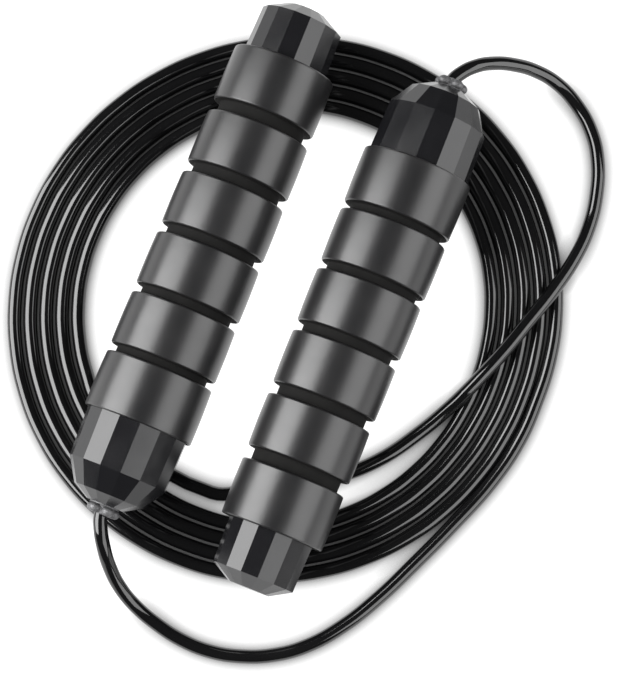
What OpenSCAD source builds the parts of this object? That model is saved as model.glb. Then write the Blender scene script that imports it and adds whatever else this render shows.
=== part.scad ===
// Jump rope with two ball-bearing handles, laid down with its cord coiled.
// Millimetres, +Z up. The handles lie along Y on the coil, and the coil lies on level ground.
// The origin is the middle of the pair of handles, at the height of their axes.
// Both handles are the same, half a turn apart.

/* [Handle] */
// Length of one handle, from the tip of the swivel to the butt
handle_l = 160; // [130:1:200]
// Distance between the two handles' axes
handle_gap = 48; // [42:0.5:80]
// How far each handle is pushed towards its butt
handle_shift = 2; // [0:0.5:10]

/* [Core tube] */
// Outer diameter of the plastic tube inside the grip
core_d = 24; // [20:0.5:32]
// Wall of the core tube
core_wall = 2.2; // [1.5:0.1:3]
// How far the core tube goes into the nose cap
core_socket_l = 10.5; // [6:0.5:12]

/* [Foam grip] */
// Thickness of the foam at the nose end
foam_wall_nose = 4.5; // [4:0.1:8]
// Thickness of the foam at the butt end
foam_wall_butt = 3.5; // [3.2:0.1:8]
// Number of raised rings
ring_n = 6; // [3:1:8]
// Length of the first and the last ring
end_ring_l = 17; // [8:0.5:22]
// Width of the groove nearest the nose
groove_w_nose = 2.6; // [1.5:0.1:5]
// Width of the groove nearest the butt
groove_w_butt = 4; // [1.5:0.1:5]
// Depth of the grooves
groove_depth = 2.3; // [1:0.1:2.8]
// Rounding of the ring edges
ring_round = 0.8; // [0.3:0.1:1.2]

/* [Nose cap] */
// Number of flats around each cap
facet_n = 15; // [13:1:20]
// Wall between the core tube and the corners of the nose cap
nose_wall = 3.4; // [2.5:0.1:6]
// How much the foot of the nose cap narrows to its shoulder, on the diameter
nose_draft = 0.8; // [0:0.1:3]
// Length of the foot of the nose cap
nose_foot_l = 15.2; // [12:0.1:22]
// Length of the sloping middle of the nose cap
nose_slope_l = 7; // [5:0.1:10]
// Diameter where the sloping middle ends, across corners
nose_slope_d = 21.4; // [20:0.1:26]
// Length of the flat front cone of the nose cap
nose_front_l = 2.8; // [2:0.1:4]
// Width of the front face, from its opening to its corners
nose_lip = 0.8; // [0.6:0.1:2]

/* [Butt cap] */
// How far the butt cap's corners stand over the core tube
butt_lip = 0.8; // [0.5:0.1:4]
// How much the butt cap narrows to its rim, on the diameter
butt_draft = 0.8; // [0:0.1:3]
// Length of the butt cap outside the core tube
butt_l = 17.5; // [12:0.5:24]
// Length of the chamfer at the end of the butt cap
butt_chamfer_l = 3.6; // [2:0.1:6]
// How far the left butt cap stands turned from the right one when both are screwed tight
butt_turn = 6; // [0:1:23]
// Diameter of the flat end face, across corners
butt_face_d = 12.4; // [8:0.1:16]
// Length of the plug that holds the butt cap in the core tube
butt_plug_l = 10; // [6:0.5:16]
// Wall of the butt cap
butt_wall = 1.8; // [1.2:0.1:2.5]

/* [Bearing] */
// Outer diameter of the ball bearing
bearing_od = 16; // [14:0.5:19.5]
// Bore of the ball bearing
bearing_bore = 8; // [7:0.1:9]
// Width of the ball bearing
bearing_w = 5; // [4.5:0.1:6]
// Diameter of the balls
ball_d = 2; // [1.8:0.1:2.2]
// Number of balls
ball_n = 9; // [6:1:11]
// Running clearance between a ball and its grooves
ball_gap = 0.05; // [0.02:0.01:0.08]
// Clearance between the bearing's other moving surfaces
seal_gap = 0.35; // [0.3:0.05:0.5]
// Depth of the front wall of the nose cap, ahead of the bearing
bearing_setback = 5.4; // [4:0.1:7]

/* [Swivel spindle] */
// How far the lobed tip stands out of the nose cap
tip_l = 3; // [2:0.1:5]
// Number of lobes around the tip
lobe_n = 5; // [4:1:7]
// Diameter of a lobe
lobe_d = 3.8; // [3:0.1:4.4]
// Diameter of the circle through the middles of the lobes
lobe_circle_d = 6.6; // [6:0.1:8]
// Height of the spindle's shoulder that the bearing seats on
neck_step = 0.5; // [0.3:0.1:0.7]
// Clearance between the spindle and the nose cap
swivel_gap = 0.4; // [0.3:0.05:0.6]
// Thickness of the clip behind the bearing
clip_w = 0.8; // [0.6:0.1:1.2]
// Depth of the clip's groove in the spindle
clip_depth = 0.6; // [0.4:0.1:0.8]
// How far the clip stands out of the spindle
clip_stand = 0.8; // [0.4:0.1:1]
// Length of the spindle behind the clip
spindle_end_l = 1.8; // [1:0.1:4]

/* [Cord stop] */
// Diameter of the ferrule that holds the end of the cord
stop_d = 9; // [8:0.5:12]
// Length of the ferrule
stop_l = 10; // [8:0.5:16]
// Diameter of the grub screw in the ferrule
screw_d = 3; // [2.5:0.5:4]
// Length of cord behind the ferrule
cord_spare_l = 6; // [2:1:20]

/* [Cord] */
// Diameter of the cord
cord_d = 4.2; // [2.5:0.1:4.6]
// Number of turns that lie side by side in the coil
coil_turns = 5; // [3:1:6]
// Distance from one turn to the next
coil_pitch = 4.8; // [4.6:0.1:6]
// Radius of the innermost turn, to the middle of the cord
coil_r = 61.5; // [58:0.5:70]
// Gap between the coil and the handles that lie on it
rest_gap = 0.3; // [0.2:0.1:1]

/* [Hidden] */
$fn = 64;
cord_r = cord_d / 2;

// Places along a handle, measured from the tip of the swivel towards the butt.
front_q = tip_l;
shoulder_q = front_q + nose_front_l + nose_slope_l;
foam_q = shoulder_q + nose_foot_l;
butt_q = handle_l - butt_l;
rim_q = handle_l - butt_chamfer_l;
foam_l = butt_q - foam_q;
core_q = foam_q - core_socket_l;
bearing_q = front_q + bearing_setback;
bearing_end_q = bearing_q + bearing_w;
clip_end_q = bearing_end_q + clip_w;
spindle_end_q = clip_end_q + spindle_end_l;
stop_end_q = spindle_end_q + stop_l;
cord_end_q = stop_end_q + cord_spare_l;

// Diameters that follow the core tube.
core_bore = core_d - 2 * core_wall;
foam_d_nose = core_d + 2 * foam_wall_nose;
foam_d_butt = core_d + 2 * foam_wall_butt;
nose_d = core_d + 2 * nose_wall;
butt_d = core_d + 2 * butt_lip;

// Diameters that follow the bearing's bore.
neck_d = bearing_bore + 2 * neck_step;
nose_opening_d = neck_d + 2 * swivel_gap;
nose_front_d = nose_opening_d + 2 * nose_lip;

// Height of the ground: the coil lies on it, and the thickest part of the handles on the coil.
ground_z = -(cord_d + rest_gap + max(foam_d_nose, nose_d) / 2);

// Rings and grooves: the grooves widen evenly towards the butt, the rings share what is left.
groove_n = ring_n - 1;
groove_w = [for (i = [0:groove_n - 1])
    groove_w_nose + (groove_w_butt - groove_w_nose) * i / max(1, groove_n - 1)];
mid_ring_l = (foam_l - 2 * end_ring_l - total(groove_w, groove_n)) / (ring_n - 2);

// Bearing: every land and groove is set from the balls' circle.
ball_circle_d = (bearing_od + bearing_bore) / 2;
ball_q = bearing_q + bearing_w / 2;
land_step = ball_d * 0.45;
inner_land_r = ball_circle_d / 2 - land_step;
outer_land_r = ball_circle_d / 2 + land_step;
shield_w = 0.4;
shield_seat = 0.3;
shield_inset = 0.1;
cage_l = ball_d + 1;
retainer_w = 1;
retainer_lip = 0.8;

// Swivel tip: it stays clear of the front face that turns behind it.
collar_l = tip_l - swivel_gap;
lobe_core_d = lobe_circle_d + 0.6;

// Small sizes.
cut = 1;
hex_af = 1.5;
hex_depth = 1;
tube_sides = 12;

// Cord, from the left swivel to the coil and from the right swivel to the coil.
// Each point is [x, y, height of the cord's underside above the ground].
left_exit = [-handle_gap / 2, handle_shift - handle_l / 2, -ground_z - cord_r];
right_exit = [handle_gap / 2, handle_l / 2 - handle_shift, -ground_z - cord_r];
left_route = [
    [-22.5, -82, 18.5], [-20, -86.5, 16.5], [-17, -91, 12], [-12.5, -95.5, 7], [-6.5, -99, 3],
    [1, -101.5, 0.8], [9, -103, 0], [18, -103, 0], [27, -101, 0], [36, -97, 0],
    [44, -91, 0], [51.5, -82, 0], [58.5, -70, 0], [64.5, -57, 0], [70.5, -43, 0]
];
right_route = [
    [25.5, 81, 18.8], [28.5, 84.5, 18], [33, 88, 15], [38.5, 90.5, 11.5], [45, 92, 7],
    [52, 91.5, 3], [59.5, 88, 0.7], [66, 82.5, 0], [71, 75, 0], [74.5, 65, 0],
    [76, 54.5, 0.2], [75.5, 44, 1.9], [73.3, 33, 4.1], [69.8, 21.5, 4.5],
    [66.5, 11, 4.5], [63.5, 3, 4.4], [60.5, -4, 3.4], [57, -11, 1.3], [52, -20, 0],
    [43, -33, 0], [32.5, -42.5, 0], [21, -50, 0], [10.5, -55.5, 0], [1, -59.5, 0]
];

// Sum of the first n numbers of a list.
function total(list, n) = n == 0 ? 0 : list[n - 1] + total(list, n - 1);

// Start of ring i, measured from the start of the foam.
function ring_start(i) = i == 0 ? 0
    : end_ring_l + (i - 1) * mid_ring_l + total(groove_w, i);
function ring_l(i) = (i == 0 || i == ring_n - 1) ? end_ring_l : mid_ring_l;

// Radius of the foam's rings at a distance from its start.
function foam_r(z) = (foam_d_nose + (foam_d_butt - foam_d_nose) * z / foam_l) / 2;

// One ring's outline as [r, z], from one groove floor to the next, with rounded edges.
function ring_outline(z0, z1) = [
    [foam_r(z0) - groove_depth, z0],
    for (a = [90:-30:0])
        [foam_r(z0) - ring_round * (1 - cos(a)), z0 + ring_round * (1 - sin(a))],
    for (a = [0:30:90])
        [foam_r(z1) - ring_round * (1 - cos(a)), z1 - ring_round * (1 - sin(a))],
    [foam_r(z1) - groove_depth, z1]
];

// A body with flat sides, stacked from [height, radius across corners] levels.
// A flat faces -Y, plus turn degrees.
module faceted_body(levels, turn = 0) {
    step = 360 / facet_n;
    top = len(levels) - 1;
    corners = [for (l = levels) for (k = [0:facet_n - 1])
        [l[1] * cos(turn - 90 + (k + 0.5) * step), l[1] * sin(turn - 90 + (k + 0.5) * step), l[0]]];
    sides = [for (i = [0:top - 1]) for (k = [0:facet_n - 1])
        [i * facet_n + k, (i + 1) * facet_n + k,
         (i + 1) * facet_n + (k + 1) % facet_n, i * facet_n + (k + 1) % facet_n]];
    bottom_face = [for (k = [0:facet_n - 1]) k];
    top_face = [for (k = [facet_n - 1:-1:0]) top * facet_n + k];
    polyhedron(corners, concat([bottom_face], sides, [top_face]));
}

// A tube, disc or ring along Z, from q0 to q1.
module ring(q0, q1, d_out, d_in) {
    difference() {
        translate([0, 0, q0]) cylinder(d = d_out, h = q1 - q0);
        translate([0, 0, q0 - cut]) cylinder(d = d_in, h = q1 - q0 + 2 * cut);
    }
}

// A cylinder used as a cutter or a plug, from q0 to q1.
module rod(q0, q1, d) {
    translate([0, 0, q0]) cylinder(d = d, h = q1 - q0);
}

// The groove that the balls run in, as a cutter.
module ball_groove() {
    translate([0, 0, ball_q]) rotate_extrude()
        translate([ball_circle_d / 2, 0]) circle(r = ball_d / 2 + ball_gap);
}

// Puts a handle piece, drawn along +Z from the swivel tip, where its handle lies.
// The piece's -Y side ends up on top.
module lay_handle(side) {
    rotate([0, 0, side == "right" ? 180 : 0])
        translate([-handle_gap / 2, handle_shift - handle_l / 2, 0])
            rotate([-90, 0, 0]) children();
}

// ---- Handle: core, grip and caps ----

module core_tube(side) {
    color("#26272a") lay_handle(side) ring(core_q, butt_q, core_d, core_bore);
}

module foam_grip(side) {
    outline = concat([[core_d / 2, 0]],
        [for (i = [0:ring_n - 1]) each ring_outline(ring_start(i), ring_start(i) + ring_l(i))],
        [[core_d / 2, foam_l]]);
    color("#454548") lay_handle(side) translate([0, 0, foam_q])
        rotate_extrude() polygon(outline);
}

module nose_cap(side) {
    shoulder_r = (nose_d - nose_draft) / 2;
    slope_q = front_q + nose_front_l;
    half_flat = 180 / facet_n;
    color("#1d1e20") lay_handle(side) difference() {
        faceted_body([[front_q, nose_front_d / 2], [slope_q, nose_slope_d / 2],
            [shoulder_q, shoulder_r], [foam_q, nose_d / 2]], side == "right" ? half_flat : 0);
        rod(front_q - cut, bearing_q + cut, nose_opening_d);
        rod(bearing_q - seal_gap, bearing_q + cut, 2 * outer_land_r);
        rod(bearing_q, core_q + cut, bearing_od);
        rod(bearing_end_q, bearing_end_q + retainer_w, bearing_od + 2 * retainer_lip);
        rod(core_q, foam_q + cut, core_d);
    }
}

module butt_cap(side) {
    plug_q = butt_q - butt_plug_l;
    color("#1d1e20") lay_handle(side) difference() {
        union() {
            faceted_body([[butt_q, butt_d / 2], [rim_q, (butt_d - butt_draft) / 2],
                [handle_l, butt_face_d / 2]], side == "left" ? butt_turn : 0);
            rod(plug_q, butt_q + cut, core_bore);
        }
        rod(plug_q - cut, rim_q - butt_wall, core_bore - 2 * butt_wall);
    }
}

// ---- Ball bearing in the nose ----

module bearing_outer_ring(side) {
    shield_d = 2 * (outer_land_r + shield_seat);
    color("#b8babd") lay_handle(side) difference() {
        ring(bearing_q, bearing_end_q, bearing_od, 2 * outer_land_r);
        ball_groove();
        rod(bearing_q - cut, bearing_q + shield_inset + shield_w, shield_d);
        rod(bearing_end_q - shield_inset - shield_w, bearing_end_q + cut, shield_d);
    }
}

module bearing_inner_ring(side) {
    color("#b8babd") lay_handle(side) difference() {
        ring(bearing_q, bearing_end_q, 2 * inner_land_r, bearing_bore);
        ball_groove();
    }
}

module bearing_shields(side) {
    front = bearing_q + shield_inset;
    back = bearing_end_q - shield_inset - shield_w;
    color("#8f9194") lay_handle(side) for (q = [front, back])
        ring(q, q + shield_w, 2 * (outer_land_r + shield_seat), 2 * (inner_land_r + seal_gap));
}

// Places its child on the balls' circle, once for each ball.
module each_ball() {
    for (i = [0:ball_n - 1]) rotate([0, 0, i * 360 / ball_n])
        translate([ball_circle_d / 2, 0, ball_q]) children();
}

module bearing_balls(side) {
    color("#d5d7da") lay_handle(side) each_ball() sphere(d = ball_d);
}

module bearing_cage(side) {
    color("#c9a552") lay_handle(side) difference() {
        ring(ball_q - cage_l / 2, ball_q + cage_l / 2,
            2 * (outer_land_r - seal_gap), 2 * (inner_land_r + seal_gap));
        each_ball() rotate([0, 90, 0])
            cylinder(r = ball_d / 2 + ball_gap, h = 2 * ball_d, center = true);
    }
}

// Snap ring that holds the bearing in the nose cap. Its gap faces down.
module bearing_retainer(side) {
    gap_w = 5;
    inner_d = bearing_od - 2 * retainer_lip;
    color("#55575a") lay_handle(side) difference() {
        ring(bearing_end_q, bearing_end_q + retainer_w, bearing_od + 2 * retainer_lip, inner_d);
        translate([-gap_w / 2, 0, bearing_end_q - cut])
            cube([gap_w, bearing_od, retainer_w + 2 * cut]);
    }
}

// ---- Swivel spindle and what holds the cord ----

module swivel_spindle(side) {
    color("#85878a") lay_handle(side) difference() {
        union() {
            linear_extrude(collar_l) {
                circle(d = lobe_core_d);
                for (i = [0:lobe_n - 1]) rotate(-90 + (i + 0.5) * 360 / lobe_n)
                    translate([lobe_circle_d / 2, 0]) circle(d = lobe_d);
            }
            rod(collar_l, bearing_q, neck_d);
            rod(bearing_q, spindle_end_q, bearing_bore);
        }
        rod(-cut, spindle_end_q + cut, cord_d);
        ring(bearing_end_q, clip_end_q, bearing_bore + 2 * cut, bearing_bore - 2 * clip_depth);
    }
}

module spindle_clip(side) {
    mouth_w = 0.6 * bearing_bore;
    color("#55575a") lay_handle(side) difference() {
        ring(bearing_end_q, clip_end_q, bearing_bore + 2 * clip_stand, bearing_bore - 2 * clip_depth);
        translate([-mouth_w / 2, 0, bearing_end_q - cut])
            cube([mouth_w, bearing_bore, clip_w + 2 * cut]);
    }
}

module cord_stop(side) {
    screw_q = spindle_end_q + stop_l / 2;
    color("#a9abae") lay_handle(side) difference() {
        ring(spindle_end_q, stop_end_q, stop_d, cord_d);
        translate([0, 0, screw_q]) rotate([90, 0, 0]) cylinder(d = screw_d, h = stop_d);
    }
}

// Grub screw with a hexagon socket; its rounded foot seats on the cord.
module stop_screw(side) {
    screw_q = spindle_end_q + stop_l / 2;
    color("#3a3b3d") lay_handle(side) difference() {
        translate([0, 0, screw_q]) rotate([90, 0, 0]) cylinder(d = screw_d, h = stop_d / 2);
        rod(spindle_end_q, stop_end_q, cord_d);
        translate([0, -stop_d / 2 + hex_depth, screw_q]) rotate([90, 0, 0])
            cylinder(d = hex_af / cos(30), h = hex_depth + cut, $fn = 6);
    }
}

module cord_end(side) {
    color("#0f0f11") lay_handle(side) rod(0, cord_end_q, cord_d);
}

// ---- Cord outside the handles ----

// Closed outer shape of the coil: turns side by side, joined between their tops and undersides.
module rope_coil() {
    web_h = 0.7 * cord_d;
    color("#0f0f11") translate([0, 0, ground_z]) rotate_extrude() {
        for (i = [0:coil_turns - 1]) translate([coil_r + i * coil_pitch, cord_r]) circle(d = cord_d);
        translate([coil_r, (cord_d - web_h) / 2]) square([(coil_turns - 1) * coil_pitch, web_h]);
    }
}

// Point on a smooth curve from b to c, with neighbours a and d, at t from 0 to 1.
function smooth_point(a, b, c, d, t) =
    0.5 * (2 * b + (c - a) * t + (2 * a - 5 * b + 4 * c - d) * t * t
        + (3 * b - a - 3 * c + d) * t * t * t);

// A route's points, moved to the middle of the cord.
function laid(route) = [for (p = route) p + [0, 0, ground_z + cord_r]];

// Middle of the cord: one ring at each point of the route and one halfway to the next.
function cord_middle(p) = [for (i = [0:len(p) - 2]) each
    [p[i], smooth_point(p[max(0, i - 1)], p[i], p[i + 1], p[min(len(p) - 1, i + 2)], 0.5)],
    p[len(p) - 1]];

function unit(v) = v / norm(v);

// Direction of travel at point i.
function heading(p, i) = unit(p[min(len(p) - 1, i + 1)] - p[max(0, i - 1)]);

// Points of the ring around point i, level across and square to the cord.
function tube_ring(p, i) = let (t = heading(p, i), across = unit(cross([0, 0, 1], t)), up = cross(t, across))
    [for (k = [0:tube_sides - 1]) p[i]
        + cord_r * (cos(k * 360 / tube_sides) * across + sin(k * 360 / tube_sides) * up)];

module tube(p) {
    n = tube_sides;
    last = len(p) - 1;
    points = [for (i = [0:last]) each tube_ring(p, i)];
    walls = [for (i = [0:last - 1]) for (k = [0:n - 1]) let (j = (k + 1) % n) each
        [[i * n + k, (i + 1) * n + k, (i + 1) * n + j], [i * n + k, (i + 1) * n + j, i * n + j]]];
    start_face = [for (k = [0:n - 1]) k];
    end_face = [for (k = [n - 1:-1:0]) last * n + k];
    polyhedron(points, concat([start_face], walls, [end_face]));
}

module left_tail() {
    color("#0f0f11") tube(cord_middle(laid(concat([left_exit], left_route))));
}

module right_tail() {
    color("#0f0f11") tube(cord_middle(laid(concat([right_exit], right_route))));
}

rope_coil();
left_tail();
right_tail();
swivel_spindle("left");  // left_swivel_spindle
bearing_inner_ring("left");  // left_bearing_inner_ring
spindle_clip("left");  // left_spindle_clip
cord_stop("left");  // left_cord_stop
stop_screw("left");  // left_stop_screw
cord_end("left");  // left_cord_end
bearing_cage("left");  // left_bearing_cage
bearing_balls("left");  // left_bearing_balls
core_tube("left");  // left_core_tube
foam_grip("left");  // left_foam_grip
nose_cap("left");  // left_nose_cap
butt_cap("left");  // left_butt_cap
bearing_outer_ring("left");  // left_bearing_outer_ring
bearing_shields("left");  // left_bearing_shields
bearing_retainer("left");  // left_bearing_retainer
swivel_spindle("right");  // right_swivel_spindle
bearing_inner_ring("right");  // right_bearing_inner_ring
spindle_clip("right");  // right_spindle_clip
cord_stop("right");  // right_cord_stop
stop_screw("right");  // right_stop_screw
cord_end("right");  // right_cord_end
bearing_cage("right");  // right_bearing_cage
bearing_balls("right");  // right_bearing_balls
core_tube("right");  // right_core_tube
foam_grip("right");  // right_foam_grip
nose_cap("right");  // right_nose_cap
butt_cap("right");  // right_butt_cap
bearing_outer_ring("right");  // right_bearing_outer_ring
bearing_shields("right");  // right_bearing_shields
bearing_retainer("right");  // right_bearing_retainer
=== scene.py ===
# %% [markdown]
# # A jump rope on its own coil
# This lesson builds the looks of a speed rope: two foam handles that lie head to tail on a coil of
# glossy cord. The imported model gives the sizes, the places and the moving bodies. It could just be
# given materials, but its edges are sharp and its coil is a plain ring. So the pieces that show
# are modelled again over it, and only the inner ones are kept. Everything is made in metres,
# around the middle of the two handles, with +Z up.

# %% Load the frame
import math

import bmesh
import bpy
from mathutils import Matrix, Vector


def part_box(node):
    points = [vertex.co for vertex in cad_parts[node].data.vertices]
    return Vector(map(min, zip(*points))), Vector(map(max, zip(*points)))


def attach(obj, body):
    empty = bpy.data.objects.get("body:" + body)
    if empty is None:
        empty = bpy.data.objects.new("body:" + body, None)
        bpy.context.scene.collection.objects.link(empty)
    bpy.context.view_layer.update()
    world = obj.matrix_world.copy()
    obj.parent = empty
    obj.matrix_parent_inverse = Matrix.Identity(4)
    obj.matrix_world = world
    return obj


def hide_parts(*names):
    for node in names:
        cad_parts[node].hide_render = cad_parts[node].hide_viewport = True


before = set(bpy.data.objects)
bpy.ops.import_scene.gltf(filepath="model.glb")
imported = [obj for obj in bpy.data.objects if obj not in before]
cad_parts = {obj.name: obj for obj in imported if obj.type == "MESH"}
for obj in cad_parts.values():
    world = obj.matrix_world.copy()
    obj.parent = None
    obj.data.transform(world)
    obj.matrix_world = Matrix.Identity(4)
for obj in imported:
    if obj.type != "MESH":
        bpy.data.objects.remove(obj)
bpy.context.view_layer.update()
MM = 0.001
SIDES = ("left", "right")

# %% [markdown]
# ## Where things are
# Positions could be typed in, but then they would no longer fit when the model changes, so they
# come from the model's own boxes. A handle is described along its axis: q is the distance from
# the tip of its swivel towards its butt. A piece is drawn standing up, along +Z from the origin,
# and is then laid down where its handle lies. The right handle is the left one turned half round,
# so one matrix for each side is enough.


# %% Measure the model
def handle_matrix(side):
    """Turns a piece drawn along +Z from the swivel's tip into place; its -Y side ends on top."""
    low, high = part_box(side + "_swivel_spindle")
    axis_x = (low[0] + high[0]) / 2
    tip_y = low[1] if side == "left" else high[1]
    turn = 0 if side == "left" else math.pi
    place = Matrix.Translation((axis_x, tip_y, 0))
    return place @ Matrix.Rotation(turn, 4, "Z") @ Matrix.Rotation(-math.pi / 2, 4, "X")


LAY = {side: handle_matrix(side) for side in SIDES}


def span_q(node):
    """Where a left node starts and ends along its handle, from the swivel's tip."""
    tip_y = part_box("left_swivel_spindle")[0][1]
    low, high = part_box(node)
    return low[1] - tip_y, high[1] - tip_y


GROUND_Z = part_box("rope_coil")[0][2]
CORD_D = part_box("rope_coil")[1][2] - GROUND_Z
FOAM_START, FOAM_END = span_q("left_foam_grip")
BUTT_END = span_q("left_butt_cap")[1]
print("ground", GROUND_Z, "cord", CORD_D, "foam", FOAM_START, FOAM_END)

# %% [markdown]
# ## The camera
# The view is almost straight down, from a little in front, and turned so that the handles lean
# to the right. A camera can be aimed with a Track To constraint, but that can't turn the picture.
# So its axes are worked out from where it stands, where it looks and how far the picture is
# turned. A long lens keeps the two handles nearly parallel.

# %% Camera
CAMERA_AT = Vector((0.1128, -0.0931, 0.793))
LOOKS_AT = Vector((0.0127, -0.0077, -0.006))
PICTURE_TURN = math.radians(21.9)
LENS_MM = 97.9
SENSOR_MM = 24.0


def make_camera():
    forward = (LOOKS_AT - CAMERA_AT).normalized()
    hint = Vector((-math.sin(PICTURE_TURN), math.cos(PICTURE_TURN), 0))
    right = forward.cross(hint).normalized()
    up = right.cross(forward)
    data = bpy.data.cameras.new("camera")
    data.sensor_fit = "VERTICAL"
    data.sensor_height = SENSOR_MM
    data.lens = LENS_MM
    camera = bpy.data.objects.new("camera", data)
    turn = Matrix((right, up, -forward)).transposed().to_4x4()
    camera.matrix_world = Matrix.Translation(CAMERA_AT) @ turn
    bpy.context.collection.objects.link(camera)
    bpy.context.scene.camera = camera
    return camera


camera = make_camera()
print("camera", (LOOKS_AT - CAMERA_AT).length, "m from the object")

# %% [markdown]
# ## The cord
# The rope is one length of plastic-coated cable. It leaves the left swivel, drops to the ground,
# joins the coil as its outermost turn and winds inwards. It comes out of the middle, crosses under
# the right handle and over the coil, and goes up into the right swivel. A rope can be simulated
# until it comes to rest, but a coil wound by hand is easier to describe than to simulate. The
# tails are listed points. The coil is a rule: each turn keeps its radius most of the way
# round, and moves in by one pitch on the near side, so that the turns lie beside each other
# everywhere.

# %% Route of the cord
LEFT_TAIL = [
    (-22.5, -82, 18.5), (-20, -86.5, 16.5), (-17, -91, 12), (-12.5, -95.5, 7), (-6.5, -99, 3),
    (1, -101.5, 0.8), (9, -103, 0), (18, -103, 0), (27, -101, 0), (36, -97, 0),
    (44, -91, 0), (51.5, -82, 0), (58.5, -70, 0), (64.5, -57, 0), (70.5, -43, 0),
]
RIGHT_TAIL = [
    (25.5, 81, 18.8), (28.5, 84.5, 18), (33, 88, 15), (38.5, 90.5, 11.5), (45, 92, 7),
    (52, 91.5, 3), (59.5, 88, 0.7), (66, 82.5, 0), (71, 75, 0), (74.5, 65, 0),
    (76, 54.5, 0.2), (75.5, 44, 1.9), (73.3, 33, 4.1), (69.8, 21.5, 4.5),
    (66.5, 11, 4.5), (63.5, 3, 4.4), (60.5, -4, 3.4), (57, -11, 1.3), (52, -20, 0),
    (43, -33, 0), (32.5, -42.5, 0), (21, -50, 0), (10.5, -55.5, 0), (1, -59.5, 0),
]
CORD_INSIDE = 5
COIL_TURNS = 5
COIL_PITCH = 4.8 * MM
COIL_INNER = 61.65 * MM
COIL_POINTS_A_TURN = 36
STEP_AT, STEP_WIDTH = 0.085, 0.3
COIL_OVAL = 0.011
OVAL_AT = math.radians(60)
COIL_LAST = math.radians(4 * 360 + 230)
COIL_JOIN = [(76.8, -26.2, 0), (79.9, -12, 0)]


def smoothstep(t):
    t = min(1.0, max(0.0, t))
    return t * t * (3 - 2 * t)


def coil_radius(wound):
    """Radius of the cord's middle after so many turns outwards, each starting at the +X side."""
    steps = sum(smoothstep((wound - turn - STEP_AT) / STEP_WIDTH + 0.5)
                for turn in range(COIL_TURNS - 1))
    return COIL_INNER + COIL_PITCH * steps


def coil_point(angle):
    """The coil's middle line: the angle grows from 0, outside, as the cord winds inwards."""
    wound = COIL_TURNS - 1 - angle / math.tau
    oval = 1 + COIL_OVAL * math.cos(2 * (angle - OVAL_AT))
    radius = coil_radius(wound) * oval
    return Vector((radius * math.cos(angle), radius * math.sin(angle), GROUND_Z + CORD_D / 2))


def tail_points(tail):
    lift = Vector((0, 0, GROUND_Z + CORD_D / 2))
    return [Vector(p) * MM + lift for p in tail]


def cord_route():
    """The cord's middle, from inside the left swivel to inside the right one."""
    start, end = ([LAY[side] @ Vector((0, 0, q * MM)) for q in (CORD_INSIDE, 0)] for side in SIDES)
    count = round(COIL_LAST / math.tau * COIL_POINTS_A_TURN)
    coil = [coil_point(COIL_LAST * i / count) for i in range(count + 1)]
    left, right = tail_points(LEFT_TAIL + COIL_JOIN), tail_points(RIGHT_TAIL)
    return start + left + coil + right[::-1] + end[::-1]


route = cord_route()
CORD_LENGTH = sum((b - a).length for a, b in zip(route, route[1:]))
print("cord", len(route), "points,", round(CORD_LENGTH, 3), "m")


# %% [markdown]
# The cord's skin could be a mesh that is swept along the route. A curve with a round bevel does
# the same, stays smooth between its points and keeps a middle line whose length can be measured.
# The bevel is one metre deep and each knot's radius scales it down to the cord, because a curve's
# box grows by the radius of its knots.

# %% Cord as one smooth curve
BEVEL_STEPS = 8
STEPS_BETWEEN_KNOTS = 6


def make_cord(points):
    data = bpy.data.curves.new("cord", "CURVE")
    data.dimensions = "3D"
    data.bevel_depth = 1.0
    data.bevel_resolution = BEVEL_STEPS
    data.resolution_u = STEPS_BETWEEN_KNOTS
    data.use_fill_caps = True
    spline = data.splines.new("BEZIER")
    spline.bezier_points.add(len(points) - 1)
    for knot, place in zip(spline.bezier_points, points):
        knot.co = place
        knot.radius = CORD_D / 2
        knot.handle_left_type = knot.handle_right_type = "AUTO"
    cord = bpy.data.objects.new("cord", data)
    bpy.context.collection.objects.link(cord)
    return cord


cord = make_cord(route)
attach(cord, "rope")
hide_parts("rope_coil", "left_tail", "right_tail")

# %% [markdown]
# ## Tools for turned and faceted pieces
# Every piece of a handle goes round the handle's axis. Cylinders could be stacked and cut, but
# most pieces are simpler as a chain of points in one plane that is spun. A full turn in 96 steps
# looks round, and a full turn in 15 steps leaves the 15 flats of the caps. Before a mesh becomes
# an object, its doubles are merged, its faces are turned outwards and it is laid down where its
# handle is.

# %% Chain, spin and finish
ROUND_STEPS = 96
ROUNDING_STEPS = 4
SHARP_ANGLE = math.radians(7)
MERGE_DISTANCE = 0.001 * MM


def chain(mesh, points, closed=False):
    """Joins (radius, q) points, in millimetres, into a chain of edges."""
    verts = [mesh.verts.new((radius * MM, 0, q * MM)) for radius, q in points]
    pairs = list(zip(verts, verts[1:]))
    if closed:
        pairs.append((verts[-1], verts[0]))
    return verts, [mesh.edges.new(pair) for pair in pairs]


def round_corners(mesh, verts, radius):
    bmesh.ops.bevel(mesh, geom=verts, offset=radius * MM, offset_type="OFFSET",
                    segments=ROUNDING_STEPS, profile=0.5, affect="VERTICES", material=-1)


def spin(mesh, steps, verts, edges):
    bmesh.ops.spin(mesh, geom=verts + edges, cent=(0, 0, 0), axis=(0, 0, 1), angle=math.tau,
                   steps=steps, use_merge=True)
    bmesh.ops.remove_doubles(mesh, verts=mesh.verts, dist=MERGE_DISTANCE)


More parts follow.
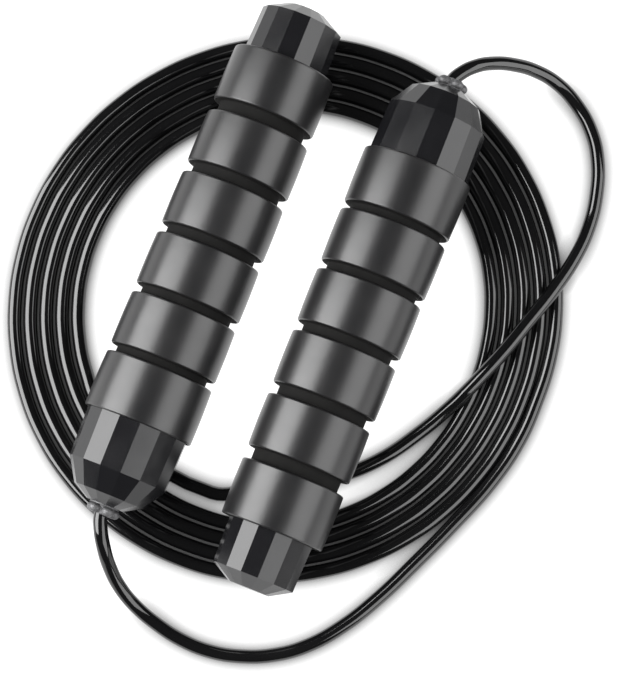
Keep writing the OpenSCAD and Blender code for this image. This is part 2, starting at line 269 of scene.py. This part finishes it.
def finish_piece(mesh, name, side, body, slot, *nodes):
    """Turns faces outwards, lays the piece on its handle, and makes it stand for CAD nodes."""
    bmesh.ops.remove_doubles(mesh, verts=mesh.verts, dist=MERGE_DISTANCE)
    bmesh.ops.recalc_face_normals(mesh, faces=mesh.faces)
    for face in mesh.faces:
        face.smooth = True
    for edge in mesh.edges:
        edge.smooth = edge.is_manifold and edge.calc_face_angle(0) < SHARP_ANGLE
    open_edges = sum(1 for edge in mesh.edges if not edge.is_manifold)
    bmesh.ops.transform(mesh, matrix=LAY[side], verts=mesh.verts)
    data = bpy.data.meshes.new(name)
    mesh.to_mesh(data)
    mesh.free()
    piece = bpy.data.objects.new(name, data)
    bpy.context.collection.objects.link(piece)
    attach(piece, body)
    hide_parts(*nodes)
    print(name, len(data.polygons), "faces,", open_edges, "open edges")
    return piece


# %% [markdown]
# ## The foam grips
# A real grip is a tube of closed-cell foam that is ground on a lathe: the rings keep the smooth
# moulded skin, and the grooves cut through it. The grooves could be cut from a tube with a
# Boolean modifier, but a lathe's own way is cleaner: the outline of a grip is one closed chain,
# with each ring very slightly crowned, as foam is, and with rounded edges. The skin has the
# first material slot and the ground faces have the second.

# %% Foam grips
CORE_R = 12
GRIP_R_NOSE, GRIP_R_BUTT = 16.5, 15.5
GRIP_START, GRIP_END = FOAM_START / MM, FOAM_END / MM
RING_COUNT = 6
END_RING_L = 17
GROOVE_WIDTHS = (2.6, 2.95, 3.3, 3.65, 4.0)
GROOVE_DEPTH = 2.3
GROOVE_SLANT = 0.25
RING_ROUND = 0.5
GROOVE_ROUND = 0.35
CROWN = 0.12
CROWN_STEPS = 8


def grip_radius(q):
    return GRIP_R_NOSE + (GRIP_R_BUTT - GRIP_R_NOSE) * (q - GRIP_START) / (GRIP_END - GRIP_START)


def ring_spans():
    """Start and end of each ring; the middle rings share what the end rings and grooves leave."""
    free = GRIP_END - GRIP_START - 2 * END_RING_L - sum(GROOVE_WIDTHS)
    middle = free / (RING_COUNT - 2)
    spans, q = [], GRIP_START
    for i in range(RING_COUNT):
        length = END_RING_L if i in (0, RING_COUNT - 1) else middle
        spans.append((q, q + length))
        q += length + (GROOVE_WIDTHS[i] if i < RING_COUNT - 1 else 0)
    return spans


def grip_outline():
    """Returns the outline's points and, for each, how far it is rounded."""
    outline = [(CORE_R, GRIP_START, 0)]
    spans = ring_spans()
    for i, (start, end) in enumerate(spans):
        floor = grip_radius(start) - GROOVE_DEPTH
        if i > 0:
            outline.append((floor, start - GROOVE_SLANT, GROOVE_ROUND))
        for k in range(CROWN_STEPS + 1):
            t = k / CROWN_STEPS
            q = start + (end - start) * t
            crown = CROWN * (1 - (2 * t - 1) ** 2)
            outline.append((grip_radius(q) + crown, q, RING_ROUND if k in (0, CROWN_STEPS) else 0))
        if i < len(spans) - 1:
            outline.append((grip_radius(end) - GROOVE_DEPTH, end + GROOVE_SLANT, GROOVE_ROUND))
    outline.append((CORE_R, GRIP_END, 0))
    return outline


def make_grip(side):
    mesh = bmesh.new()
    outline = grip_outline()
    verts, edges = chain(mesh, [(radius, q) for radius, q, _ in outline], closed=True)
    for size in (RING_ROUND, GROOVE_ROUND):
        round_corners(mesh, [v for v, point in zip(verts, outline) if point[2] == size], size)
    spin(mesh, ROUND_STEPS, list(mesh.verts), list(mesh.edges))
    for face in mesh.faces:
        middle = face.calc_center_median()
        depth = grip_radius(middle.z / MM) - middle.xy.length / MM
        # Faces deep in the grooves take the second material, whose darker colour is painted shade.
        face.material_index = 1 if depth > RING_ROUND else 0
    return finish_piece(mesh, side + "_grip", side, side + "_handle", "foam", side + "_foam_grip")


grips = {side: make_grip(side) for side in SIDES}

# %% [markdown]
# ## The faceted caps
# Each handle has a long cap at its nose, which holds the bearing, and a short one at its butt.
# Outside they have 15 flats, and inside they are bored round. A Boolean modifier could bore them,
# but it leaves long thin faces that shade badly. So the outside is spun in 15 steps and the bore
# in 96, and the two are bridged on their flat end faces. The bridge has a flaw: the loops have
# different numbers of corners, so it also draws faces across the openings. The swivel and the
# core tube hide them, but the bores aren't open there. The relief and the groove that the packed
# nose cap has around its bearing are left out. A small bevel on the outer edges catches the
# light, as a moulded edge does. It is marked with the attribute edge, where the plastic gets
# worn. A cap that is screwed tight stops at any angle, so a turn of its own, in flats, says where
# its flats lie.

# %% Faceted caps
FLATS = 15
EDGE_BEVEL = 0.16
EDGE_BEVEL_STEPS = 2
NOSE_TURN = {"left": 0.0, "right": 0.5}
BUTT_TURN = {"left": 0.25, "right": 0.0}


def ring_edges(mesh, faces, q):
    """Open edges of these faces at a distance q along the handle."""
    found = {e for f in faces for e in f.edges if e.is_boundary}
    return [e for e in found if all(abs(v.co.z / MM - q) < 0.01 for v in e.verts)]


def make_cap(name, side, node, outside, inside, turn):
    mesh = bmesh.new()
    verts, edges = chain(mesh, outside)
    spin(mesh, FLATS, verts, edges)
    first = -math.pi / 2 + (0.5 + turn) * math.tau / FLATS
    bmesh.ops.rotate(mesh, cent=(0, 0, 0), matrix=Matrix.Rotation(first, 3, "Z"), verts=mesh.verts)
    outer_faces = list(mesh.faces)
    verts, edges = chain(mesh, inside)
    old = set(mesh.faces)
    spin(mesh, ROUND_STEPS, verts, edges)
    inner_faces = [f for f in mesh.faces if f not in old]
    for q in {outside[0][1], outside[-1][1]}:
        outer_loop, inner_loop = (ring_edges(mesh, f, q) for f in (outer_faces, inner_faces))
        if outer_loop and inner_loop:
            bmesh.ops.bridge_loops(mesh, edges=outer_loop + inner_loop)
    edge_mark = mesh.faces.layers.float.new("edge")
    outer = set(outer_faces)
    corners = [e for e in mesh.edges if len(e.link_faces) == 2 and outer.issuperset(e.link_faces)
               and e.calc_face_angle(0) > SHARP_ANGLE]
    bevelled = bmesh.ops.bevel(mesh, geom=corners, offset=EDGE_BEVEL * MM, offset_type="OFFSET",
                               segments=EDGE_BEVEL_STEPS, profile=0.5, affect="EDGES",
                               material=-1)
    for face in bevelled["faces"]:
        face[edge_mark] = 1.0
    return finish_piece(mesh, name, side, side + "_handle", "cap", node)


NOSE_Q = span_q("left_nose_cap")[0] / MM
BEARING_Q = span_q("left_bearing_outer_ring")[0] / MM
CORE_Q = span_q("left_core_tube")[0] / MM
BUTT_Q = BUTT_END / MM
PLUG_Q = span_q("left_butt_cap")[0] / MM
NOSE_OUTSIDE = [(5.35, NOSE_Q), (5.7, NOSE_Q), (10.7, NOSE_Q + 2.8), (15.0, NOSE_Q + 9.8),
                (15.4, GRIP_START), (13.4, GRIP_START)]
NOSE_INSIDE = [(4.9, NOSE_Q), (4.9, BEARING_Q), (8.0, BEARING_Q), (8.0, CORE_Q), (12.0, CORE_Q),
               (12.0, GRIP_START)]
BUTT_OUTSIDE = [(10.9, GRIP_END), (12.8, GRIP_END), (12.4, BUTT_Q - 3.6), (6.2, BUTT_Q),
                (0, BUTT_Q)]
BUTT_INSIDE = [(9.8, GRIP_END), (9.8, PLUG_Q), (8.0, PLUG_Q), (8.0, BUTT_Q - 5.4),
               (0, BUTT_Q - 5.4)]
caps = []
for side in SIDES:
    caps.append(make_cap(side + "_nose", side, side + "_nose_cap", NOSE_OUTSIDE, NOSE_INSIDE,
                         NOSE_TURN[side]))
    caps.append(make_cap(side + "_butt", side, side + "_butt_cap", BUTT_OUTSIDE, BUTT_INSIDE,
                         BUTT_TURN[side]))

# %% [markdown]
# ## The swivel spindles
# The cord goes into the handle through a small cast spindle, whose tip shows as five rounded
# lobes. Five balls joined by a remesh would give lumps without a clean bore. Here a ring of
# vertices is extruded from level to level along the axis. On the levels of the tip the ring
# follows five circles that grow and shrink like balls; behind them it is round, through the
# bearing and the clip's groove, and then comes back through the bore.

# %% Swivel spindles
LOBES = 5
LOBE_R, LOBE_CIRCLE_R, LOBE_CORE_R = 1.9, 3.3, 3.45
LOBE_MIDDLE_Q, LOBE_REACH_Q = 1.3, 1.5
TIP_LEVELS = (0.0, 0.12, 0.35, 0.7, 1.1, 1.5, 1.9, 2.25, 2.48, 2.6)
BORE_R = CORD_D / MM / 2 + 0.05
NECK_R, SHAFT_R, CLIP_R = 4.5, 4.0, 3.4
CLIP_START, CLIP_END = (q / MM for q in span_q("left_spindle_clip"))
SHAFT_END = span_q("left_swivel_spindle")[1] / MM
SPINDLE_STEPS = 100


def lobed_radius(angle, q):
    """Outline of the tip: the outermost of the lobes and the round core."""
    share = ((q - LOBE_MIDDLE_Q) / LOBE_REACH_Q) ** 2
    lobe = LOBE_R * math.sqrt(max(0.0, 1 - share))
    pitch = math.tau / LOBES
    off = (angle + math.pi / 2) % pitch - pitch / 2
    reach = lobe ** 2 - (LOBE_CIRCLE_R * math.sin(off)) ** 2
    radius = LOBE_CIRCLE_R * math.cos(off) + math.sqrt(reach) if reach > 0 else 0
    return max(radius, LOBE_CORE_R)


def spindle_levels():
    """Each level is (q, radius); a radius of None follows the lobes."""
    tip = [(q, None) for q in TIP_LEVELS]
    shaft = [(2.6, NECK_R), (BEARING_Q, NECK_R), (BEARING_Q, SHAFT_R), (CLIP_START, SHAFT_R),
             (CLIP_START, CLIP_R), (CLIP_END, CLIP_R), (CLIP_END, SHAFT_R), (SHAFT_END, SHAFT_R)]
    return tip + shaft + [(SHAFT_END, BORE_R), (0.0, BORE_R)]


def place_ring(verts, q, radius):
    for vert in verts:
        angle = math.atan2(vert.co.y, vert.co.x)
        r = (lobed_radius(angle, q) if radius is None else radius) * MM
        vert.co = (r * math.cos(angle), r * math.sin(angle), q * MM)


def make_spindle(side):
    mesh = bmesh.new()
    verts = bmesh.ops.create_circle(mesh, segments=SPINDLE_STEPS, radius=LOBE_R * MM)["verts"]
    levels = spindle_levels()
    place_ring(verts, *levels[0])
    first = edges = list(mesh.edges)
    for level in levels[1:]:
        grown = bmesh.ops.extrude_edge_only(mesh, edges=edges)["geom"]
        edges = [g for g in grown if isinstance(g, bmesh.types.BMEdge)]
        place_ring([g for g in grown if isinstance(g, bmesh.types.BMVert)], *level)
    bmesh.ops.bridge_loops(mesh, edges=first + edges)
    return finish_piece(mesh, side + "_swivel", side, "rope", "swivel", side + "_swivel_spindle")


spindles = [make_spindle(side) for side in SIDES]

# %% [markdown]
# ## Shared effects for the materials
# Real plastic, foam and metal are never quite even. Three effects come back in several finishes.
# They could be built again in each material, but a node group is built once and takes different
# numbers in each. Fine grain gives a height for a bump. Handled patches gives a slow change, for
# shine and tint. Edge wear turns the marked edges into a broken mask.


# %% Node helpers
def node(tree, kind, place, **values):
    """Adds a node; values are input numbers by name, or by index as i0, i1."""
    made = tree.nodes.new(kind)
    made.location = (place[0] * 200, place[1] * 200)
    for key, value in values.items():
        socket = int(key[1:]) if key[0] == "i" and key[1:].isdigit() else key.replace("_", " ")
        made.inputs[socket].default_value = value
    return made


def new_group(name, inputs, outputs):
    tree = bpy.data.node_groups.new(name, "ShaderNodeTree")
    for label, kind, value in inputs:
        socket = tree.interface.new_socket(label, in_out="INPUT", socket_type=kind)
        if value is not None:
            socket.default_value = value
    for label, kind in outputs:
        tree.interface.new_socket(label, in_out="OUTPUT", socket_type=kind)
    return tree, tree.nodes.new("NodeGroupInput"), tree.nodes.new("NodeGroupOutput")


FLOAT, VECTOR = "NodeSocketFloat", "NodeSocketVector"


# %% Node groups
def grain_group():
    """Small pits and grain: a height from 0 to 1."""
    tree, given, out = new_group(
        "fine grain", [("Vector", VECTOR, None), ("Grain Size", FLOAT, 2000.0),
                       ("Pit Size", FLOAT, 900.0), ("Pits", FLOAT, 0.5)], [("Height", FLOAT)])
    noise = node(tree, "ShaderNodeTexNoise", (1, 1), Detail=4.0, Roughness=0.6)
    pits = node(tree, "ShaderNodeTexVoronoi", (1, -1))
    hole = node(tree, "ShaderNodeMapRange", (2, -1), i1=0.0, i2=0.35, i3=-1.0, i4=0.0)
    depth = node(tree, "ShaderNodeMath", (3, -1))
    depth.operation = "MULTIPLY"
    total = node(tree, "ShaderNodeMath", (4, 0))
    total.operation = "ADD"
    tree.links.new(given.outputs["Vector"], noise.inputs["Vector"])
    tree.links.new(given.outputs["Vector"], pits.inputs["Vector"])
    tree.links.new(given.outputs["Grain Size"], noise.inputs["Scale"])
    tree.links.new(given.outputs["Pit Size"], pits.inputs["Scale"])
    tree.links.new(pits.outputs["Distance"], hole.inputs[0])
    tree.links.new(hole.outputs[0], depth.inputs[0])
    tree.links.new(given.outputs["Pits"], depth.inputs[1])
    tree.links.new(noise.outputs[0], total.inputs[0])
    tree.links.new(depth.outputs[0], total.inputs[1])
    tree.links.new(total.outputs[0], out.inputs["Height"])
    return tree


def patches_group():
    """A slow change over the surface, between Low and High."""
    tree, given, out = new_group(
        "handled patches", [("Vector", VECTOR, None), ("Patch Size", FLOAT, 60.0),
                            ("Low", FLOAT, 0.0), ("High", FLOAT, 1.0)], [("Value", FLOAT)])
    noise = node(tree, "ShaderNodeTexNoise", (1, 0), Detail=3.0, Roughness=0.55)
    spread = node(tree, "ShaderNodeMapRange", (2, 0), i1=0.3, i2=0.7)
    tree.links.new(given.outputs["Vector"], noise.inputs["Vector"])
    tree.links.new(given.outputs["Patch Size"], noise.inputs["Scale"])
    tree.links.new(noise.outputs[0], spread.inputs[0])
    tree.links.new(given.outputs["Low"], spread.inputs[3])
    tree.links.new(given.outputs["High"], spread.inputs[4])
    tree.links.new(spread.outputs[0], out.inputs["Value"])
    return tree


def wear_group():
    """Marked edges, broken up by noise, from 0 to Amount."""
    tree, given, out = new_group(
        "edge wear", [("Vector", VECTOR, None), ("Edge", FLOAT, 0.0), ("Wear Size", FLOAT, 300.0),
                      ("Amount", FLOAT, 0.5)], [("Mask", FLOAT)])
    noise = node(tree, "ShaderNodeTexNoise", (1, 0), Detail=5.0)
    broken = node(tree, "ShaderNodeMapRange", (2, 0), i1=0.42, i2=0.6)
    marked = node(tree, "ShaderNodeMath", (3, 0))
    amount = node(tree, "ShaderNodeMath", (4, 0))
    marked.operation = amount.operation = "MULTIPLY"
    tree.links.new(given.outputs["Vector"], noise.inputs["Vector"])
    tree.links.new(given.outputs["Wear Size"], noise.inputs["Scale"])
    tree.links.new(noise.outputs[0], broken.inputs[0])
    tree.links.new(broken.outputs[0], marked.inputs[0])
    tree.links.new(given.outputs["Edge"], marked.inputs[1])
    tree.links.new(marked.outputs[0], amount.inputs[0])
    tree.links.new(given.outputs["Amount"], amount.inputs[1])
    tree.links.new(amount.outputs[0], out.inputs["Mask"])
    return tree


GRAIN, PATCHES, WEAR = grain_group(), patches_group(), wear_group()
print("groups:", GRAIN.name, PATCHES.name, WEAR.name)


# %% Material helpers
def use_group(tree, group, place, vector, **values):
    made = node(tree, "ShaderNodeGroup", place)
    made.node_tree = group
    for key, value in values.items():
        made.inputs[key.replace("_", " ")].default_value = value
    tree.links.new(vector, made.inputs["Vector"])
    return made


def new_material(name, **values):
    """A material with a Principled BSDF, its plain numbers, and the Object coordinates."""
    made = bpy.data.materials.new(name)
    made.use_nodes = True
    tree = made.node_tree
    shader = tree.nodes["Principled BSDF"]
    for key, value in values.items():
        shader.inputs[key.replace("_", " ")].default_value = value
    where = node(tree, "ShaderNodeTexCoord", (-8, 0)).outputs["Object"]
    return made, tree, shader, where


def add_bump(tree, shader, height, strength, distance_mm):
    bump = node(tree, "ShaderNodeBump", (-1, -2), Strength=strength, Distance=distance_mm * MM)
    tree.links.new(height, bump.inputs["Height"])
    tree.links.new(bump.outputs["Normal"], shader.inputs["Normal"])


def tinted(tree, factor, first, second, place=(-3, 2)):
    """Colour that goes from first to second with factor."""
    mix = node(tree, "ShaderNodeMix", place)
    mix.data_type = "RGBA"
    # With colours, a Mix node takes them at inputs 6 and 7 and gives the result at output 2.
    mix.inputs[6].default_value = (*first, 1)
    mix.inputs[7].default_value = (*second, 1)
    tree.links.new(factor, mix.inputs[0])
    return mix.outputs[2]


# %% [markdown]
# ## Foam
# The skin of the rings is satin, with very fine pores, and takes a soft streak of light. The
# ground grooves show open cells: they have hardly any shine, and their grain is coarser. Their
# colour is also a little darker than the skin's, which is painted shade in the grooves. One
# material with a mask could hold both, but the specular level has to be one number for a whole
# material, so the grooves get a material of their own. The tint drifts a little along the grip,
# as handled foam does.


# %% Foam materials
def foam_material(name, dark, light, rough, specular, grain, pits, strength):
    made, tree, shader, where = new_material(name, IOR=1.6, Specular_IOR_Level=specular)
    patches = use_group(tree, PATCHES, (-6, 2), where, Patch_Size=70.0, Low=0.0, High=1.0)
    tree.links.new(tinted(tree, patches.outputs[0], dark, light), shader.inputs["Base Color"])
    shine = use_group(tree, PATCHES, (-6, 0), where, Patch_Size=160.0, Low=rough[0],
                      High=rough[1])
    tree.links.new(shine.outputs[0], shader.inputs["Roughness"])
    cells = use_group(tree, GRAIN, (-6, -2), where, Grain_Size=grain, Pit_Size=0.6 * grain,
                      Pits=pits)
    add_bump(tree, shader, cells.outputs[0], strength, 0.05)
    return made


foam_skin = foam_material("foam skin", (0.006, 0.006, 0.0065), (0.010, 0.0097, 0.010),
                          (0.30, 0.34), 0.5, 2600.0, 0.8, 0.25)
# Its darker colour paints shade into the grooves; the low shine and coarse grain are the cells'.
groove_foam_painted_shade = foam_material("ground foam with painted shade", (0.0045, 0.0044, 0.0042), (0.0065, 0.0063, 0.006),
                           (0.8, 0.9), 0.12, 1400.0, 1.0, 0.5)
for grip in grips.values():
    grip.data.materials.append(foam_skin)
    grip.data.materials.append(groove_foam_painted_shade)

# %% [markdown]
# ## Cap plastic
# The caps are moulded in gloss black plastic. It could have a clear coat over a dull base, but
# moulded plastic has no coat, so one low roughness does it. The flats act as small mirrors, and
# the roughness changes only slightly. The long edges are rubbed a little greyer.


# %% Cap material
def cap_material():
    made, tree, shader, where = new_material("cap plastic", IOR=1.52)
    edge = node(tree, "ShaderNodeAttribute", (-8, 2))
    edge.attribute_name = "edge"
    wear = use_group(tree, WEAR, (-5, 2), where, Wear_Size=420.0, Amount=0.6)
    tree.links.new(edge.outputs["Fac"], wear.inputs["Edge"])
    colour = tinted(tree, wear.outputs[0], (0.005, 0.005, 0.0058), (0.04, 0.04, 0.042))
    tree.links.new(colour, shader.inputs["Base Color"])
    shine = use_group(tree, PATCHES, (-5, 0), where, Patch_Size=120.0, Low=0.17, High=0.23)
    tree.links.new(shine.outputs[0], shader.inputs["Roughness"])
    grain = use_group(tree, GRAIN, (-5, -2), where, Grain_Size=1800.0, Pit_Size=700.0, Pits=0.0)
    add_bump(tree, shader, grain.outputs[0], 0.06, 0.02)
    return made


cap_plastic = cap_material()
for cap in caps:
    cap.data.materials.append(cap_plastic)

# %% [markdown]
# ## Cord coating
# The coating is extruded over the cable, so it is smooth and glossy, with faint lines along its
# length. On Object coordinates such lines would cut across the bends. They come from the curve's
# own UV map instead, stretched far more along the cord than around it. Small scuffs, on Object
# coordinates, dull it here and there.


# %% Cord material
def cord_material():
    made, tree, shader, where = new_material("cord coating", IOR=1.6)
    scuffs = use_group(tree, PATCHES, (-5, 1), where, Patch_Size=90.0, Low=0.06, High=0.12)
    tree.links.new(scuffs.outputs[0], shader.inputs["Roughness"])
    tint = use_group(tree, PATCHES, (-6, 3), where, Patch_Size=30.0, Low=0.0, High=1.0)
    colour = tinted(tree, tint.outputs[0], (0.002, 0.002, 0.0022), (0.004, 0.004, 0.0042))
    tree.links.new(colour, shader.inputs["Base Color"])
    uv = node(tree, "ShaderNodeTexCoord", (-8, -2)).outputs["UV"]
    stretch = node(tree, "ShaderNodeMapping", (-7, -2), Scale=(60.0, 14.0, 1.0))
    tree.links.new(uv, stretch.inputs["Vector"])
    lines = use_group(tree, GRAIN, (-5, -2), stretch.outputs[0], Grain_Size=1.0, Pit_Size=1.0,
                      Pits=0.0)
    add_bump(tree, shader, lines.outputs[0], 0.12, 0.03)
    return made


cord.data.materials.append(cord_material())

# %% [markdown]
# ## Metal and inner pieces
# The swivel is a matt casting. Inside the nose are a ball bearing, clips and a ferrule with its
# grub screw. They hardly show, but they have finishes too, so that the handle can be taken apart.
# Each finish could be built by hand, but they differ only in colour, roughness and grain, so one
# function makes them all, and the tube's plastic with them.


# %% Metal materials
def metal(name, colour, low, high, grain, bump=0.1, metallic=1.0):
    made, tree, shader, where = new_material(name, Metallic=metallic)
    patches = use_group(tree, PATCHES, (-6, 2), where, Patch_Size=260.0, Low=0.0, High=1.0)
    darker = tuple(0.75 * c for c in colour)
    tree.links.new(tinted(tree, patches.outputs[0], darker, colour), shader.inputs["Base Color"])
    shine = use_group(tree, PATCHES, (-5, 0), where, Patch_Size=500.0, Low=low, High=high)
    tree.links.new(shine.outputs[0], shader.inputs["Roughness"])
    height = use_group(tree, GRAIN, (-5, -2), where, Grain_Size=grain, Pit_Size=grain / 3,
                       Pits=0.3)
    add_bump(tree, shader, height.outputs[0], bump, 0.03)
    return made


swivel_metal = metal("cast swivel", (0.2, 0.2, 0.205), 0.6, 0.72, 2400.0, 0.2)
for spindle in spindles:
    spindle.data.materials.append(swivel_metal)

CAD_FINISHES = {
    "core_tube": metal("tube plastic", (0.022, 0.022, 0.024), 0.45, 0.6, 1500.0, 0.15, 0.0),
    "cord_end": cord.data.materials[0],
    "bearing_inner_ring": metal("ground race", (0.62, 0.62, 0.64), 0.12, 0.25, 5000.0, 0.05),
    "bearing_balls": metal("polished ball", (0.8, 0.8, 0.82), 0.04, 0.09, 6000.0, 0.01),
    "bearing_cage": metal("brass cage", (0.72, 0.52, 0.22), 0.25, 0.4, 3000.0),
    "bearing_shields": metal("pressed shield", (0.5, 0.5, 0.52), 0.25, 0.38, 3000.0),
    "spindle_clip": metal("spring steel", (0.16, 0.16, 0.17), 0.3, 0.5, 2600.0),
    "cord_stop": metal("turned ferrule", (0.66, 0.67, 0.68), 0.22, 0.36, 2200.0),
    "stop_screw": metal("black screw", (0.05, 0.05, 0.055), 0.35, 0.55, 2400.0),
}
CAD_FINISHES["bearing_outer_ring"] = CAD_FINISHES["bearing_inner_ring"]
CAD_FINISHES["bearing_retainer"] = CAD_FINISHES["spindle_clip"]
for side in SIDES:
    for ending, finish in CAD_FINISHES.items():
        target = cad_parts[side + "_" + ending]
        for slot in target.material_slots:
            slot.material = finish
print(len(CAD_FINISHES), "finishes on the packed nodes of each handle")

# %% [markdown]
# ## Floor
# The rope lies on a plain white sheet that glows evenly, like paper on a light table. Lamps alone
# could make it white, but the handles stand close together, and the strip between them would go
# grey. A glow alone would shine up through the narrow gaps of the coil. So the glow fades where
# something stands close over the sheet, which an Ambient Occlusion node measures. This fade is
# painted shadow: it paints the soft shadows around the rope and the dark gaps between the turns.


# %% Floor
FLOOR_HALF = 4
FLOOR_DROP = 0.0001
PAPER = (0.08, 0.08, 0.08, 1)
GLOW = 1.2
# Reach and strength of the painted shadow that darkens the floor's glow near the rope.
SHADOW_PAINT_REACH = 0.005
SHADOW_PAINT_FADE = 1.9


def paper_material():
    made, tree, shader, _ = new_material("floor paper", Roughness=0.9, Base_Color=PAPER,
                                         Specular_IOR_Level=0.1, Emission_Color=(1, 1, 1, 1))
    # Ambient Occlusion scales the glow down: painted shadow around the rope and in the coil's gaps.
    painted_shadow_ao = node(tree, "ShaderNodeAmbientOcclusion", (-4, -1), Distance=SHADOW_PAINT_REACH)
    fade = node(tree, "ShaderNodeMath", (-2, -1), i1=SHADOW_PAINT_FADE)
    fade.operation = "POWER"
    glow = node(tree, "ShaderNodeMath", (-1, -1), i1=GLOW)
    glow.operation = "MULTIPLY"
    tree.links.new(painted_shadow_ao.outputs["AO"], fade.inputs[0])
    tree.links.new(fade.outputs[0], glow.inputs[0])
    tree.links.new(glow.outputs[0], shader.inputs["Emission Strength"])
    return made


def make_floor():
    mesh = bmesh.new()
    bmesh.ops.create_grid(mesh, x_segments=1, y_segments=1, size=FLOOR_HALF)
    bmesh.ops.translate(mesh, vec=(0, 0, GROUND_Z - FLOOR_DROP), verts=mesh.verts)
    data = bpy.data.meshes.new("floor")
    mesh.to_mesh(data)
    mesh.free()
    floor = bpy.data.objects.new("floor", data)
    bpy.context.collection.objects.link(floor)
    floor.data.materials.append(paper_material())
    return floor


floor = make_floor()
print("floor at", round(floor.data.vertices[0].co.z, 5), "m")

# %% [markdown]
# ## Light
# Black things show mostly what they mirror, so the lamps are chosen for their shapes. One lamp
# would leave half of each handle black. Two long soft boxes lie along the handles, a bright one
# on the left and a dimmer one on the right. They make the two streaks on the foam and light some
# of the flats of the caps. The left one ends short of the far caps, which stay darker. A large
# soft box straight above only fills, and isn't mirrored, and a dim even sky keeps the darkest
# sides from going quite black.

# %% Lights
BOX_DISTANCE = 0.9
SKY = (0.05, 0.05, 0.05, 1)


def soft_box(name, angle_deg, distance, width, length, radiance, shift_y=0.0):
    """A long box parallel to the handles, at an angle from straight up, facing the origin."""
    data = bpy.data.lights.new(name, "AREA")
    data.shape = "RECTANGLE"
    data.size, data.size_y = width, length
    data.energy = radiance * math.pi * width * length
    light = bpy.data.objects.new(name, data)
    angle = math.radians(angle_deg)
    place = Vector((distance * math.sin(angle), shift_y, distance * math.cos(angle)))
    light.matrix_world = Matrix.Translation(place) @ Matrix.Rotation(angle, 4, "Y")
    light.visible_camera = False
    bpy.context.collection.objects.link(light)
    print(name, round(data.energy, 2), "W")
    return light


soft_box("left_box", -50, BOX_DISTANCE, 0.9, 1.0, radiance=8.3, shift_y=-0.3)
soft_box("right_box", 58, BOX_DISTANCE, 0.76, 1.2, radiance=3.4)
overhead = soft_box("overhead_box", 0, 1.5, 3.0, 3.0, radiance=1.2)
overhead.visible_glossy = False

world = bpy.data.worlds.new("studio")
world.use_nodes = True
world.node_tree.nodes["Background"].inputs["Color"].default_value = SKY
bpy.context.scene.world = world
bpy.context.scene.view_settings.view_transform = "Standard"

# %% [markdown]
# ## Finish
# The view layer is updated once more, so that every piece stands where it was put.

# %% Finish
bpy.context.view_layer.update()
